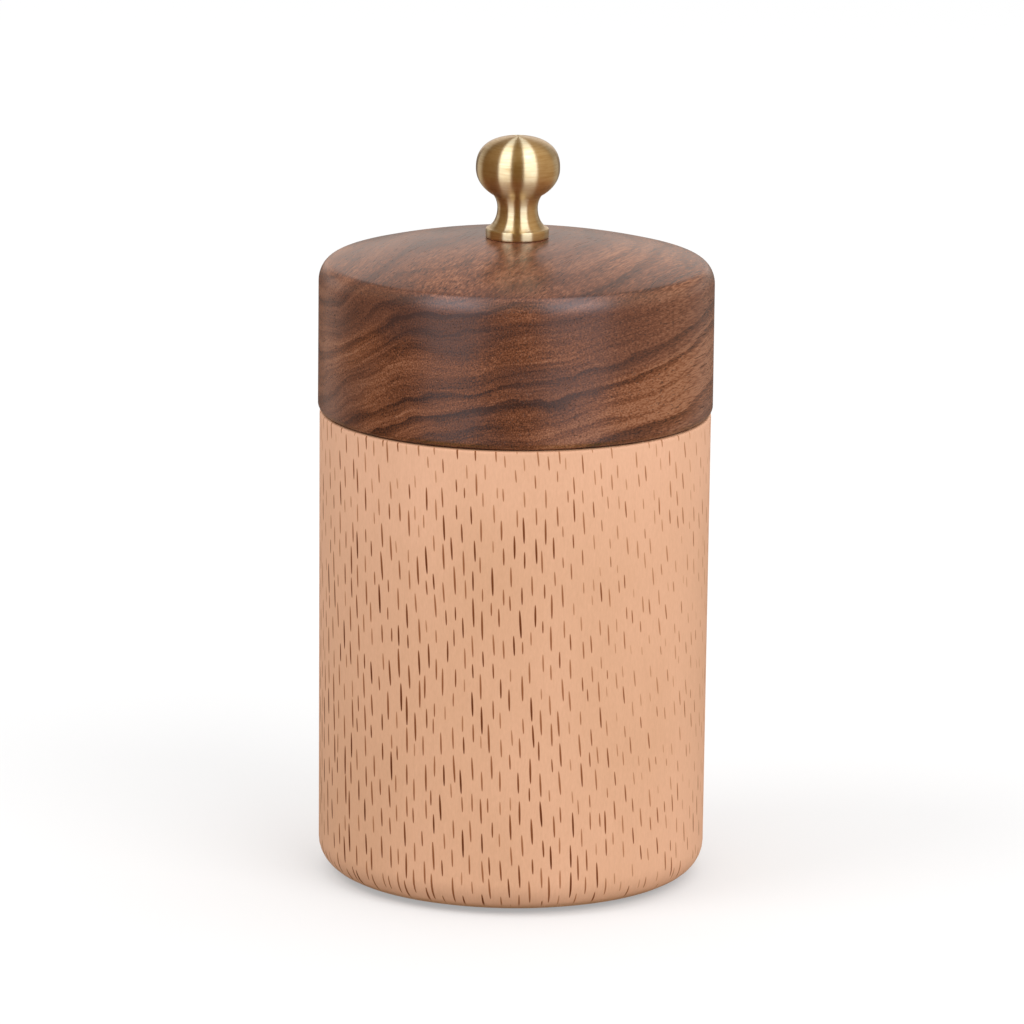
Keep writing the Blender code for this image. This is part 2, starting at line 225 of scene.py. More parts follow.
class Graph:
    """Builds one node tree, for a material, the world or Geometry Nodes."""

    def __init__(self, tree: NodeTree) -> None:
        """Starts from an empty tree."""
        self.tree = tree
        tree.nodes.clear()

    def add(self, kind: str, values: dict | None = None, **settings: object) -> Outputs:
        """Adds a node.

        Args:
            kind: The node's type.
            values: Values, wires or tuples of both, by the socket's name, identifier or place.
            settings: Its settings, such as an operation, or a colour ramp's stops, set first.

        Returns:
            The node's outputs, by name and by identifier.
        """
        node = self.tree.nodes.new(kind)
        for key, setting in settings.items():
            if key == "stops":
                self.set_stops(node.color_ramp, setting)
            else:
                setattr(node, key, setting)
        for key, value in (values or {}).items():
            socket = self.find(node.inputs, key)
            if isinstance(value, tuple) and any(isinstance(part, Wire) for part in value):
                value = self.add("ShaderNodeCombineXYZ", dict(enumerate(value)))["Vector"]
            if isinstance(value, Wire):
                self.tree.links.new(value.socket, socket)
            else:
                socket.default_value = value
        found: Outputs = {}
        for socket in node.outputs:
            found.setdefault(socket.name, Wire(self, socket))
            found[socket.identifier] = Wire(self, socket)
        return found

    @staticmethod
    def find(sockets: bpy.types.bpy_prop_collection, key: str | int) -> NodeSocket:
        """The socket with this place, identifier or name, shown ones first.

        Args:
            sockets: A node's inputs.
            key: Its place, identifier or name.

        Returns:
            The socket.
        """
        if isinstance(key, int):
            return sockets[key]
        exact = [socket for socket in sockets if socket.identifier == key]
        named = [socket for socket in sockets if socket.name == key and socket.enabled]
        return (exact or named)[0]

    @staticmethod
    def set_stops(ramp: bpy.types.ColorRamp, stops: list[tuple[float, Colour]]) -> None:
        """Gives a colour ramp its stops.

        Args:
            ramp: The ramp.
            stops: Places and colours, in order.
        """
        while len(ramp.elements) < len(stops):
            ramp.elements.new(1.0)
        for element, (place, colour) in zip(ramp.elements, stops):
            element.position = place
            element.color = (*colour, 1.0)

    def math(self, operation: str, *terms: Term) -> Wire:
        """A Math node on these terms."""
        return self.add("ShaderNodeMath", dict(enumerate(terms)), operation=operation)["Value"]

    def parts(self, vector: Wire) -> tuple[Wire, Wire, Wire]:
        """The three parts of a vector."""
        split = self.add("ShaderNodeSeparateXYZ", {0: vector})
        return split["X"], split["Y"], split["Z"]

    def place_mm(self) -> Wire:
        """The place on the piece, in millimetres."""
        values = {"Vector": self.add("ShaderNodeTexCoord")["Object"], "Scale": 1 / MM}
        return self.add("ShaderNodeVectorMath", values, operation="SCALE")["Vector"]

    def upward(self) -> Wire:
        """How far the surface faces up, from -1 to 1."""
        return self.parts(self.add("ShaderNodeTexCoord")["Normal"])[2]

    def noise(self, place: Place, scales: Scales, detail: float = 2.0, rough: float = 0.5) -> Wire:
        """Soft noise about one half.

        Args:
            place: Where to read it.
            scales: How fine it is along each part of the place.
            detail: How many finer octaves are added.
            rough: How strong they are.

        Returns:
            The noise value.
        """
        spot = tuple(part * scale for part, scale in zip(place, scales))
        values = {"Vector": spot, "Scale": 1.0, "Detail": detail, "Roughness": rough}
        return self.add("ShaderNodeTexNoise", values)["Fac"]

    def chance(self, key: Place) -> tuple[Wire, Wire, Wire]:
        """Three random values from 0 to 1 for a whole-numbered vector."""
        drawn = self.add("ShaderNodeTexWhiteNoise", {"Vector": key}, noise_dimensions="3D")
        return self.parts(drawn["Color"])

    def colour(self, *parts: Term) -> Wire:
        """A colour from its red, green and blue."""
        return self.add("ShaderNodeCombineColor", dict(enumerate(parts)))["Color"]

    def blend(self, factor: Term, low: Tint, high: Tint, way: str = "MIX") -> Wire:
        """One colour laid over another.

        Args:
            factor: How much of the second colour shows.
            low: The colour underneath.
            high: The colour on top.
            way: The Mix node's blend type.

        Returns:
            The mixed colour.
        """
        under, over = (c if isinstance(c, Wire) else (*c, 1.0) for c in (low, high))
        values = {"Factor_Float": factor, "A_Color": under, "B_Color": over}
        return self.add("ShaderNodeMix", values, data_type="RGBA", blend_type=way)["Result_Color"]

    def bump(self, height: Wire, distance: float, strength: float) -> Wire:
        """A bumped normal.

        Args:
            height: Height pattern, from 0 to 1.
            distance: Height in metres that 1 stands for.
            strength: Share of the effect.

        Returns:
            The normal.
        """
        values = {"Height": height, "Distance": distance, "Strength": strength}
        return self.add("ShaderNodeBump", values)["Normal"]


def new_material(name: str) -> tuple[Material, Graph]:
    """An empty node material.

    Args:
        name: Its name.

    Returns:
        The material, and the graph that fills it.
    """
    material = bpy.data.materials.new(name)
    material.use_nodes = True
    return material, Graph(material.node_tree)


# Finishes


@dataclass(frozen=True)
class Finish:
    """A procedural finish. Each kind says what feeds its shader."""

    name: str

    def sockets(self, graph: Graph) -> dict[str, Term]:
        """Values and wires for the shader's sockets, by name."""
        raise NotImplementedError

    def material(self) -> Material:
        """Builds the finish.

        Returns:
            The material.
        """
        material, graph = new_material(self.name)
        values = self.sockets(graph)
        shader = graph.add("ShaderNodeBsdfPrincipled", values, distribution="GGX")["BSDF"]
        graph.add("ShaderNodeOutputMaterial", {"Surface": shader})
        return material


@dataclass(frozen=True)
class RayFlecks:
    """Beech ray flecks: upright dashes in two sets of staggered columns, at most one to a cell."""

    columns: int = 54
    cell_mm: float = 4.5
    longest_mm: float = 4.6
    shortest_mm: float = 1.9
    width_mm: float = 0.34
    soft_mm: float = 0.05
    girth_mm: float = 174.0
    drift: float = 0.26
    squeeze: float = 0.18
    bluntness: float = 0.6
    seeds: tuple[float, float] = (3.5, 11.5)

    def mask(self, graph: Graph, turn: Wire, height: Wire, strong: Wire) -> Wire:
        """Where the flecks are, and how dark each one is.

        Args:
            graph: The material's graph.
            turn: Place round the jar, from 0 to 1.
            height: Height in millimetres.
            strong: How bold the flecks are there, from 0 to 1.

        Returns:
            A value from 0 to 1.
        """
        bunching = 2 * math.tau
        bunched = (turn * bunching).sine() * (self.squeeze / bunching) + turn
        sets = []
        for part, seed in enumerate(self.seeds):
            across = bunched * self.columns + 0.5 * part
            level = height / self.cell_mm + 0.5 * part
            sets.append(self.one_set(graph, across, level, strong, seed))
        return sets[0].at_least(sets[1])

    def one_set(self, graph: Graph, across: Wire, level: Wire, strong: Wire, seed: float) -> Wire:
        """One set of columns of flecks.

        Args:
            graph: The material's graph.
            across: Place round the jar, in columns.
            level: Height, in cells.
            strong: How bold the flecks are there, from 0 to 1.
            seed: Where the random values start.

        Returns:
            A value from 0 to 1.
        """
        column = across.floor()
        key = column % self.columns
        up = level + graph.chance((key, seed, 0.5))[0] * 0.24
        row = up.floor()
        shift, rise, stretch = graph.chance((key, row, seed))
        shade, tilt, _ = graph.chance((key, row, seed + 30.0))
        spare_mm = self.longest_mm - self.shortest_mm
        length = (stretch * spare_mm + self.shortest_mm) * (strong * 0.38 + 0.62)
        free = (1.0 - length / self.cell_mm).at_least(0.12)
        dy = (up - row - 0.5 - (rise - 0.5) * free) * self.cell_mm
        lean = 0.12 - strong * 0.075 + (tilt - 0.5) * 0.04
        aside = across - column - 0.5 - (shift - 0.5) * self.drift
        dx = aside * (self.girth_mm / self.columns) + dy * lean
        reach = dy / (length * 0.5)
        taper = (1.0 - reach * reach).at_least(0.0)
        half = taper**self.bluntness * (stretch * 0.35 + 0.65) * (strong * 0.25 + 0.75)
        edge = (half * (self.width_mm * 0.5) - dx.absolute()).ramp(-self.soft_mm, self.soft_mm)
        depth = taper.ramp(0.0, 0.4) * (reach * -0.15 + 0.85)
        return edge * depth * (stretch * 0.35 + shade * shade * 0.65 + 0.22).at_most(1.0)


@dataclass(frozen=True)
class Beech(Finish):
    """Satin turned beech: pale pink-tan, with brown ray flecks and end grain on level faces."""

    name: str = "beech_satin"
    pale: Colour = (0.82, 0.465, 0.298)
    tan: Colour = (0.69, 0.385, 0.229)
    kept_light: Colour = (0.13, 0.05, 0.02)
    end_pale: Colour = (0.60, 0.335, 0.20)
    end_dark: Colour = (0.46, 0.235, 0.135)
    end_ray: Colour = (0.72, 0.45, 0.29)
    end_pore: Colour = (0.25, 0.11, 0.06)
    pith_mm: float = 130.0
    sway_mm: float = 1.6
    bold_left: float = 46 * DEGREE
    bold_rear: float = 172 * DEGREE
    flecks: RayFlecks = RayFlecks()

    def sockets(self, graph: Graph) -> dict[str, Term]:
        """What feeds the shader.

        Args:
            graph: The material's graph.

        Returns:
            Values and wires, by socket.
        """
        x, y, z = graph.parts(graph.place_mm())
        lie = graph.upward().absolute().ramp(0.62, 0.9)
        turn = graph.math("ARCTAN2", x, -y) / math.tau + 0.5
        place = ((turn * math.tau).sine(), (turn * math.tau).cosine(), z)
        broad = graph.noise(place, (1.6, 1.6, 0.03), 2.0, 0.5)
        streaks = graph.noise(place, (40.0, 40.0, 0.14), 3.0, 0.6)
        hair = graph.noise(place, (110.0, 110.0, 1.1), 2.0, 0.6)
        sway = graph.noise(place, (2.4, 2.4, 0.035), 1.0, 0.4) - 0.5

        front = (turn - 0.5) * math.tau
        left = (front + self.bold_left).cosine().ramp(-0.1, 0.85)
        rear = (front - self.bold_rear).cosine().ramp(-0.1, 0.8)
        low = z.ramp(70.0, 46.0, 0.35, 1.0)
        foot = z.ramp(24.0, 6.0, 0.0, 0.35)
        strong = (left.at_least(rear * 0.85) * low + foot).at_most(1.0)
        moved = turn + sway * (self.sway_mm / self.flecks.girth_mm)
        flecks = self.flecks.mask(graph, moved, z, strong) * (1.0 - lie)

        # Tone varies at random and runs paler near the top, darker towards the foot.
        tone = (broad - 0.5) * 1.4 + z.ramp(66.0, 46.0, 0.15, 0.62)
        wood = graph.blend(tone, self.pale, self.tan)
        grain = (streaks - 0.5) * 0.07 + (hair - 0.5) * 0.15
        tint = graph.colour(*(grain * share + 1.0 for share in (1.0, 1.2, 1.4)))
        wood = graph.blend(1.0, wood, tint, "MULTIPLY")
        depth = flecks * (strong * 0.57 + 0.43)
        passed = graph.colour(*(share**depth for share in self.kept_light))
        side = graph.blend(1.0, wood, passed, "MULTIPLY")
        height = (1.0 - flecks) * 0.7 + hair * 0.3
        return {
            "Base Color": graph.blend(lie, side, self.end_grain(graph, x, y)),
            "Roughness": 0.52 + (streaks - 0.5) * 0.10 + flecks * 0.25,
            "Normal": graph.bump(height, 0.03 * MM, 0.4),
            "Specular IOR Level": 0.12,
        }

    def end_grain(self, graph: Graph, x: Wire, y: Wire) -> Wire:
        """Colour of the level faces, where the rings and rays are cut across.

        Args:
            graph: The material's graph.
            x: Place across, in millimetres.
            y: Place in depth, in millimetres.

        Returns:
            The colour.
        """
        far = y - self.pith_mm
        out = graph.math("SQRT", x * x + far * far)
        angle = graph.math("ARCTAN2", x, -far)
        rings = graph.noise((out, angle, 0.0), (0.55, 2.0, 1.0), 2.0, 0.5)
        rays = graph.noise((angle, out, 4.0), (420.0, 0.12, 1.0), 1.0, 0.5).ramp(0.60, 0.72)
        pores = graph.noise((x, y, 9.0), (5.0, 5.0, 1.0), 1.0, 0.5).ramp(0.60, 0.75)
        tone = graph.blend(rings.ramp(0.3, 0.7), self.end_pale, self.end_dark)
        tone = graph.blend(rays * 0.45, tone, self.end_ray)
        return graph.blend(pores * 0.35, tone, self.end_pore)


@dataclass(frozen=True)
class Walnut(Finish):
    """Satin oiled walnut, with level fibres that run back and right, and layers that rise right."""

    name: str = "walnut_oiled"
    fibre_turn: float = 66 * DEGREE
    middle_mm: float = 80.0
    slope_across: float = 0.17
    slope_back: float = -0.08
    curl: float = 0.15
    girth_radius_mm: float = 28.0
    ring_mm: float = 2.7
    shades: tuple[tuple[float, Colour], ...] = (
        (0.14, (0.036, 0.011, 0.006)),
        (0.34, (0.098, 0.029, 0.011)),
        (0.52, (0.158, 0.048, 0.018)),
        (0.68, (0.236, 0.081, 0.034)),
        (0.90, (0.345, 0.144, 0.072)),
    )
    plum: Colour = (0.105, 0.052, 0.044)
    pore: Colour = (0.030, 0.014, 0.010)
    # Tone of the top faces: lighter than the side, partly the wood's own tone and partly painted
    # light from above.
    top_tone_and_light: float = 0.59

    def sockets(self, graph: Graph) -> dict[str, Term]:
        """What feeds the shader.

        Args:
            graph: The material's graph.

        Returns:
            Values and wires, by socket.
        """
        x, y, z = graph.parts(graph.place_mm())
        upward = graph.upward()
        lie = upward.ramp(0.5, 0.95)
        along = x * math.cos(self.fibre_turn) + y * math.sin(self.fibre_turn)
        across = y * math.cos(self.fibre_turn) - x * math.sin(self.fibre_turn)
        block = (along, across, z)
        slow = graph.noise(block, (0.020, 0.045, 0.05), 1.0, 0.5) - 0.5
        quick = graph.noise(block, (0.05, 0.16, 0.22), 2.0, 0.5) - 0.5
        bent = x * x * x * (self.curl / self.girth_radius_mm**2)
        tilt = x * self.slope_across + y * self.slope_back + bent
        layer = z - self.middle_mm - tilt + slow * 8.0 + quick * 1.8

        layers = (along, across, layer)
        streak = graph.noise(layers, (0.012, 0.03, 0.55), 4.0, 0.66)
        zone = graph.noise(layers, (0.02, 0.06, 0.10), 1.5, 0.5)
        upright = graph.noise(layers, (0.03, 0.14, 3.0), 3.0, 0.65)
        level = graph.noise(layers, (0.05, 1.5, 2.6), 3.0, 0.65)
        hair = upright + (level - upright) * lie
        speck = graph.noise(block, (0.5, 5.0, 5.0), 1.0, 0.6)
        open_pores = graph.noise(block, (0.26, 4.6, 4.6), 0.0, 0.5)
        pores = open_pores.ramp(0.70, 0.78) * (1.0 - lie * zone.ramp(0.40, 0.60, 0.35, 0.95))

        ring = layer / self.ring_mm + quick * 0.6
        strength = graph.chance((ring.floor(), 7.5, 2.5))[0]
        phase = ring % 1.0
        lines = phase.ramp(0.45, 0.90) * phase.ramp(1.0, 0.94) * (strength * 0.85 + 0.15)

        fine = (hair - 0.5) * 0.62 + (speck - 0.5) * (1.05 - lie * 0.2)
        tone = (streak - 0.5) * 0.80 + (zone - 0.5) * 0.56 + fine * (lie * 0.5 + 1.0)
        # Painted light: the side's tone lightens towards the right, where more light falls, and at
        # its far left edge.
        painted_side_light = x.ramp(-22.0, -15.0, 0.60, 0.40)
        painted_side_light = painted_side_light + x.ramp(-9.0, 12.0, 0.0, 0.20) + x.ramp(12.0, 24.0, 0.0, 0.15)
        # Painted shade: a dark line along the band where the top meets the rounded upper edge.
        edge = upward.ramp(0.80, 0.90) * upward.ramp(0.985, 0.95)
        # The top faces take their own tone, partly wood and partly painted light, and the painted
        # shade line is taken off.
        tone = tone + painted_side_light + lie * (self.top_tone_and_light - painted_side_light) - lines * 0.30 - edge * 0.16
        wood = graph.add("ShaderNodeValToRGB", {"Fac": tone}, stops=self.shades)["Color"]
        wood = graph.blend(zone.ramp(0.40, 0.58, 0.30, 0.0), wood, self.plum)
        height = (1.0 - pores) * 0.6 + speck * 0.3 + hair * 0.1
        return {
            "Base Color": graph.blend(pores * 0.55, wood, self.pore),
            "Roughness": 0.31 + (hair - 0.5) * 0.12 + (speck - 0.5) * 0.14 + pores * 0.2,
            "Normal": graph.bump(height, 0.05 * MM, 0.6),
            "Specular IOR Level": 0.42,
            "Coat Weight": upward.ramp(0.08, 0.5) * (1.0 - lie * 0.65),
            "Coat Roughness": 0.27,
        }


@dataclass(frozen=True)
class TurnedMetal(Finish):
    """Metal with the fine rings of a lathe tool, read from the distance along its outline."""

    bright: Colour
    dull: Colour
    roughness: float
    grain: float
    ring_mm: float
    ring_height: float

    def sockets(self, graph: Graph) -> dict[str, Term]:
        """What feeds the shader.

        Args:
            graph: The material's graph.

        Returns:
            Values and wires, by socket.
        """
        x, y, z = graph.parts(graph.place_mm())
        run = graph.add("ShaderNodeAttribute", attribute_name=ALONG)["Fac"] * (1 / MM)
        fine = graph.noise((x, y, run / self.ring_mm), (0.4, 0.4, 1.0), 2.0, 0.6)
        coarse = graph.noise((x, y, run), (0.12, 0.12, 1.4), 2.0, 0.6)
        cloud = graph.noise((x, y, z), (0.35, 0.35, 0.35), 3.0, 0.55)
        tone = (cloud - 0.5) * 1.2 + (coarse - 0.5) * 1.2 + (fine - 0.5) * 1.7 + 0.40
        return {
            "Base Color": graph.blend(tone.at_least(0.0).at_most(1.0), self.bright, self.dull),
            "Metallic": 1.0,
            "Roughness": self.roughness + (coarse - 0.5) * 0.10 + (cloud - 0.5) * 0.06,
            "Anisotropic": self.grain,
            "Anisotropic Rotation": 0.25,
            "Normal": graph.bump(fine * 0.6 + coarse * 0.4, self.ring_height, 1.0),
        }


@dataclass(frozen=True)
class Moulded(Finish):
    """Moulded rubber or silicone with a fine skin, faint clouding and a little dust."""

    colour: Colour
    dust: Colour
    roughness: float
    pebble_mm: float
    pebble_height: float

    def sockets(self, graph: Graph) -> dict[str, Term]:
        """What feeds the shader.

        Args:
            graph: The material's graph.

        Returns:
            Values and wires, by socket.
        """
        spot = graph.place_mm()
        cloud = graph.noise(graph.parts(spot), (0.15, 0.15, 0.15), 3.0, 0.55)
        values = {"Vector": spot, "Scale": 1.0 / self.pebble_mm}
        cells = graph.add("ShaderNodeTexVoronoi", values, feature="SMOOTH_F1")["Distance"]
        dusty = cloud.ramp(0.48, 0.75) * 0.35 + (cells - 0.4) * 0.25
        return {
            "Base Color": graph.blend(dusty.at_least(0.0).at_most(1.0), self.colour, self.dust),
            "Roughness": self.roughness + (cloud - 0.5) * 0.2,
            "Normal": graph.bump(1.0 - cells, self.pebble_height, 0.8),
        }


BRASS = TurnedMetal("brass_turned", (0.94, 0.77, 0.49), (0.74, 0.53, 0.26), 0.31, 1.0, 0.22, 3e-6)
ZINC = TurnedMetal("zinc_plate", (0.66, 0.67, 0.68), (0.48, 0.48, 0.47), 0.32, 0.5, 0.15, 4e-6)
SILICONE = Moulded("silicone_milky", (0.74, 0.74, 0.71), (0.80, 0.79, 0.75), 0.42, 0.35, 6e-6)
RUBBER = Moulded("rubber_matt", (0.028, 0.026, 0.025), (0.10, 0.095, 0.085), 0.72, 0.45, 4e-5)


# Turning


class TreeName(Enum):
    """The two Geometry Nodes trees: a swept outline, and a screw thread."""

    TURNING = "turning"
    THREAD = "thread"


def new_tree(name: TreeName, own: dict[str, str]) -> tuple[NodeTree, Graph, Outputs]:
    """An empty Geometry Nodes tree with its named inputs.

    Args:
        name: The tree's name.
        own: Names and kinds of the inputs that only this tree has.

    Returns:
        The tree, its graph and the group's input wires.
    """
    tree = bpy.data.node_groups.new(name.value, "GeometryNodeTree")
    inputs = {"Outline": "Geometry", "Steps": "Int", **own, "Weld": "Float", "Finish": "Material"}
    for label, kind in inputs.items():
        tree.interface.new_socket(name=label, in_out="INPUT", socket_type="NodeSocket" + kind)
    tree.interface.new_socket(name="Piece", in_out="OUTPUT", socket_type="NodeSocketGeometry")
    graph = Graph(tree)
    return tree, graph, graph.add("NodeGroupInput")


def ring_grid(graph: Graph, given: Outputs, rows: Wire) -> tuple[Wire, Wire, Wire]:
    """A grid with a row of points for each ring round the axis.

    Args:
        graph: The tree's graph.
        given: The tree's inputs.
        rows: How many rings.

    Returns:
        The grid, each point's row and its share of the way round, from 0 to 1.
    """
    columns = given["Steps"] + 1.0
    grid = graph.add("GeometryNodeMeshGrid", {"Vertices X": rows, "Vertices Y": columns})["Mesh"]
    index = graph.add("GeometryNodeInputIndex")["Index"]
    row = (index / columns).floor()
    return grid, row, (index - row * columns) / given["Steps"]


def end_tree(
    graph: Graph, given: Outputs, grid: Wire, radius: Wire, angle: Wire, height: Wire, run: Wire
) -> None:
    """Lays the grid round the axis, merges doubled points, gives the finish and ends the tree.

    Args:
        graph: The tree's graph.
        given: The tree's inputs.
        grid: The grid.
        radius: Each point's radius.
        angle: Its angle round the axis.
        height: Its height.
        run: Its distance along the outline.
    """
    spot = (radius * angle.cosine(), radius * angle.sine(), height)
    real = {"data_type": "FLOAT", "domain": "POINT"}
    for kind, values, settings in (
        ("GeometryNodeSetPosition", {"Position": spot}, {}),
        ("GeometryNodeStoreNamedAttribute", {"Name": ALONG, "Value": run}, real),
        ("GeometryNodeMergeByDistance", {"Distance": given["Weld"]}, {}),
        ("GeometryNodeRealizeInstances", {}, {}),
        ("GeometryNodeSetMaterial", {"Material": given["Finish"]}, {}),
    ):
        grid = graph.add(kind, {"Geometry": grid, **values}, **settings)["Geometry"]
    graph.add("NodeGroupOutput", {"Piece": grid})


def thread_tree() -> NodeTree:
    """The tree that lays a screw thread round the Z axis, running out at both ends.

    Returns:
        The tree.
    """
    own = {"Turns": "Int", **dict.fromkeys(("Pitch", "Crest", "Root", "Low", "High"), "Float")}
    tree, graph, given = new_tree(TreeName.THREAD, own)
    pitch, low, high, root = (given[name] for name in ("Pitch", "Low", "High", "Root"))
    grid, row, share = ring_grid(graph, given, given["Turns"] * 4.0 + 5.0)
    step = row % 4.0
    on_crest = graph.math("COMPARE", step, 1.5, 0.6)
    climb = (row - step) / 4.0 + step * 0.3 - 1.0 + share
    height = (climb * pitch + low).at_least(low).at_most(high)
    start = ((height - low) / pitch).at_most(1.0)
    end = ((high - height) / pitch).at_most(1.0)
    radius = on_crest * start * end * (given["Crest"] - root) + root
    end_tree(graph, given, grid, radius, share * math.tau, height, height)
    return tree


def turning_tree() -> NodeTree:
    """The tree that sweeps a row of outline points round the Z axis.

    Returns:
        The tree.
    """
    tree, graph, given = new_tree(TreeName.TURNING, {"Sweep": "Float", "Rise": "Float"})
    outline = {"Geometry": given["Outline"]}
    size = graph.add("GeometryNodeAttributeDomainSize", outline, component="MESH")
    grid, row, share = ring_grid(graph, given, size["Point Count"])

    def at_row(value: Wire, kind: str) -> Wire:
        """What a value is at the outline point of each row."""
        values = {**outline, "Value": value, "Index": row}
        return graph.add("GeometryNodeSampleIndex", values, domain="POINT", data_type=kind)["Value"]

    place = graph.add("GeometryNodeInputPosition")["Position"]
    run = graph.add("GeometryNodeInputNamedAttribute", {"Name": ALONG}, data_type="FLOAT")
    radius, _, height = graph.parts(at_row(place, "FLOAT_VECTOR"))
    distance = at_row(run["Attribute"], "FLOAT")
    height = height + share * given["Rise"]
    end_tree(graph, given, grid, radius, share * given["Sweep"], height, distance)
    return tree


def shown(name: str, data: bpy.types.ID) -> Object:
    """A new object in the scene.

    Args:
        name: Its name.
        data: Its mesh, lamp or camera.

    Returns:
        The object.
    """
    made = bpy.data.objects.new(name, data)
    bpy.context.scene.collection.objects.link(made)
    return made


def as_mesh(bm: bmesh.types.BMesh, mesh: Mesh) -> Mesh:
    """Writes what was built into a mesh.

    Args:
        bm: What was built. It is freed.
        mesh: The mesh to fill.

    Returns:
        The mesh.
    """
    bm.to_mesh(mesh)
    bm.free()
    return mesh


def applied(piece: Object) -> Mesh:
    """The plain mesh that a piece's modifiers make. They are taken off.

    Args:
        piece: The piece.

    Returns:
        The mesh.
    """
    graph = bpy.context.evaluated_depsgraph_get()
    mesh = bpy.data.meshes.new_from_object(piece.evaluated_get(graph), depsgraph=graph)
    piece.modifiers.clear()
    return mesh


def tidy_mesh(mesh: Mesh) -> None:
    """Closes open ends, turns the faces outwards and shades round faces smooth.

    Args:
        mesh: The mesh to tidy.
    """
    bm = bmesh.new()
    bm.from_mesh(mesh)
    rim = [edge for edge in bm.edges if edge.is_boundary]
    if rim:
        bmesh.ops.holes_fill(bm, edges=rim, sides=0)
    bmesh.ops.recalc_face_normals(bm, faces=bm.faces)
    for face in bm.faces:
        face.material_index = 0
    as_mesh(bm, mesh)
    mesh.shade_smooth()
    mesh.set_sharp_from_angle(angle=SHARP)


def grown(name: str, seed: Mesh, tree: NodeTree, values: dict) -> Object:
    """Runs a Geometry Nodes tree on a mesh and keeps the result as a plain, closed mesh.

    Args:
        name: The piece's name.
        seed: The mesh that the tree starts from.
        tree: The tree.
        values: Values of its named inputs.

    Returns:
        The piece, in the scene.
    """
    piece = shown(name, seed)
    modifier = piece.modifiers.new(tree.name, "NODES")
    modifier.node_group = tree
    for item in tree.interface.items_tree:
        if item.in_out == "INPUT" and item.name in values:
            modifier[item.identifier] = values[item.name]
    mesh = applied(piece)
    piece.data = mesh
    mesh.name = name
    bpy.data.meshes.remove(seed)
    tidy_mesh(mesh)
    mesh.materials.clear()
    mesh.materials.append(values["Finish"])
    return piece


@dataclass
class Lathe:
    """Turns outlines into pieces."""

    tree: NodeTree

    def turn(
        self, name: str, outline: list[Point], finish: Material, steps: int,
        sweep: float = math.tau, rise: float = 0.0,
    ) -> Object:
        """Makes a turned piece.

        Args:
            name: The piece's name.
            outline: Points (r, z), from the axis to the axis or once round a closed section.
            finish: Its material.
            steps: Facets once round.
            sweep: Angle that the section goes round.
            rise: How far it climbs on its way.

        Returns:
            The piece.
        """
        if outline[0][0] > WELD:
            outline = outline + outline[:1]
        seed = bpy.data.meshes.new(name + "_outline")
        seed.from_pydata([(r, 0.0, z) for r, z in outline], [], [])
        run = [0.0]
        for here, there in zip(outline, outline[1:]):
            run.append(run[-1] + math.dist(here, there))
        seed.attributes.new(ALONG, "FLOAT", "POINT").data.foreach_set("value", run)
        values = {"Steps": steps, "Sweep": sweep, "Rise": rise, "Weld": WELD, "Finish": finish}
        return grown(name, seed, self.tree, values)


def settle(piece: Object, body: Body, node: str) -> None:
    """Puts a finished piece in the place of its node and reports it.

    Args:
        piece: The piece.
        body: The body that it rides on.
        node: The node that it stands for.
    """
    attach(piece, body.value)
    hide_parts(node)
    columns = list(zip(*(vertex.co for vertex in piece.data.vertices)))
    low, high = ([round(end(column) / MM, 2) for column in columns] for end in (min, max))
    faces = len(piece.data.polygons)
    log.info("%s: %d faces, from %s to %s mm, on %s", piece.name, faces, low, high, body.value)


# Sub-assemblies


@dataclass
class Jar:
    """The beech jar and the pad under its foot."""

    lathe: Lathe
    top_radius: float = 27.76 * MM
    foot_radius: float = 27.55 * MM
    foot_z: float = 0.4 * MM
    foot_round: float = 4.2 * MM
    shoulder_z: float = 67.1 * MM
    shoulder_round: float = 0.5 * MM
    neck_radius: float = 24.2 * MM
    neck_top_z: float = 72.5 * MM
    neck_round: float = 0.6 * MM
    bore_radius: float = 20.5 * MM
    floor_z: float = 10.4 * MM
    floor_round: float = 1.5 * MM
    groove_radius: float = 22.9 * MM
    groove_low_z: float = 68.7 * MM
    groove_high_z: float = 71.1 * MM
    recess_radius: float = 18.3 * MM
    recess_z: float = 1.8 * MM
    pad_radius: float = 18.15 * MM
    pad_edge: float = 0.25 * MM
    crisp: float = 0.1 * MM
    body_facets: int = 288
    pad_facets: int = 144

    def body_outline(self) -> list[Point]:
        """From the floor's middle, up the bore, over the neck, down the side and under the foot.

        Returns:
            The points (r, z).
        """
        corners = [
            Corner(0.0, self.floor_z),
            Corner(self.bore_radius, self.floor_z, self.floor_round),
            Corner(self.bore_radius, self.neck_top_z, self.neck_round),
            Corner(self.neck_radius, self.neck_top_z, self.neck_round),
            Corner(self.neck_radius, self.groove_high_z, self.crisp),
            Corner(self.groove_radius, self.groove_high_z, self.crisp),
            Corner(self.groove_radius, self.groove_low_z, self.crisp),
            Corner(self.neck_radius, self.groove_low_z, self.crisp),
            Corner(self.neck_radius, self.shoulder_z, 1.5 * self.crisp),
            Corner(self.top_radius, self.shoulder_z, self.shoulder_round),
            Corner(self.foot_radius, self.foot_z, self.foot_round),
            Corner(self.recess_radius, self.foot_z, 2.0 * self.crisp),
            Corner(self.recess_radius, self.recess_z, self.crisp),
            Corner(0.0, self.recess_z),
        ]
        return eased(corners, steps=8)

    def pad_outline(self) -> list[Point]:
        """The pad's disc, with its lower edge eased.

        Returns:
            The points (r, z).
        """
        corners = [
            Corner(0.0, self.recess_z),
            Corner(self.pad_radius, self.recess_z, self.crisp),
            Corner(self.pad_radius, 0.0, self.pad_edge),
            Corner(0.0, 0.0),
        ]
        return eased(corners)

    def build(self, beech: Material, rubber: Material) -> None:
        """Makes both pieces.

        Args:
            beech: Finish of the jar.
            rubber: Finish of the pad.
        """
        body = self.lathe.turn("jar_body", self.body_outline(), beech, self.body_facets)
        settle(body, Body.JAR, "beech_body")
        pad = self.lathe.turn("foot_pad", self.pad_outline(), rubber, self.pad_facets)
        settle(pad, Body.JAR, "base_pad")


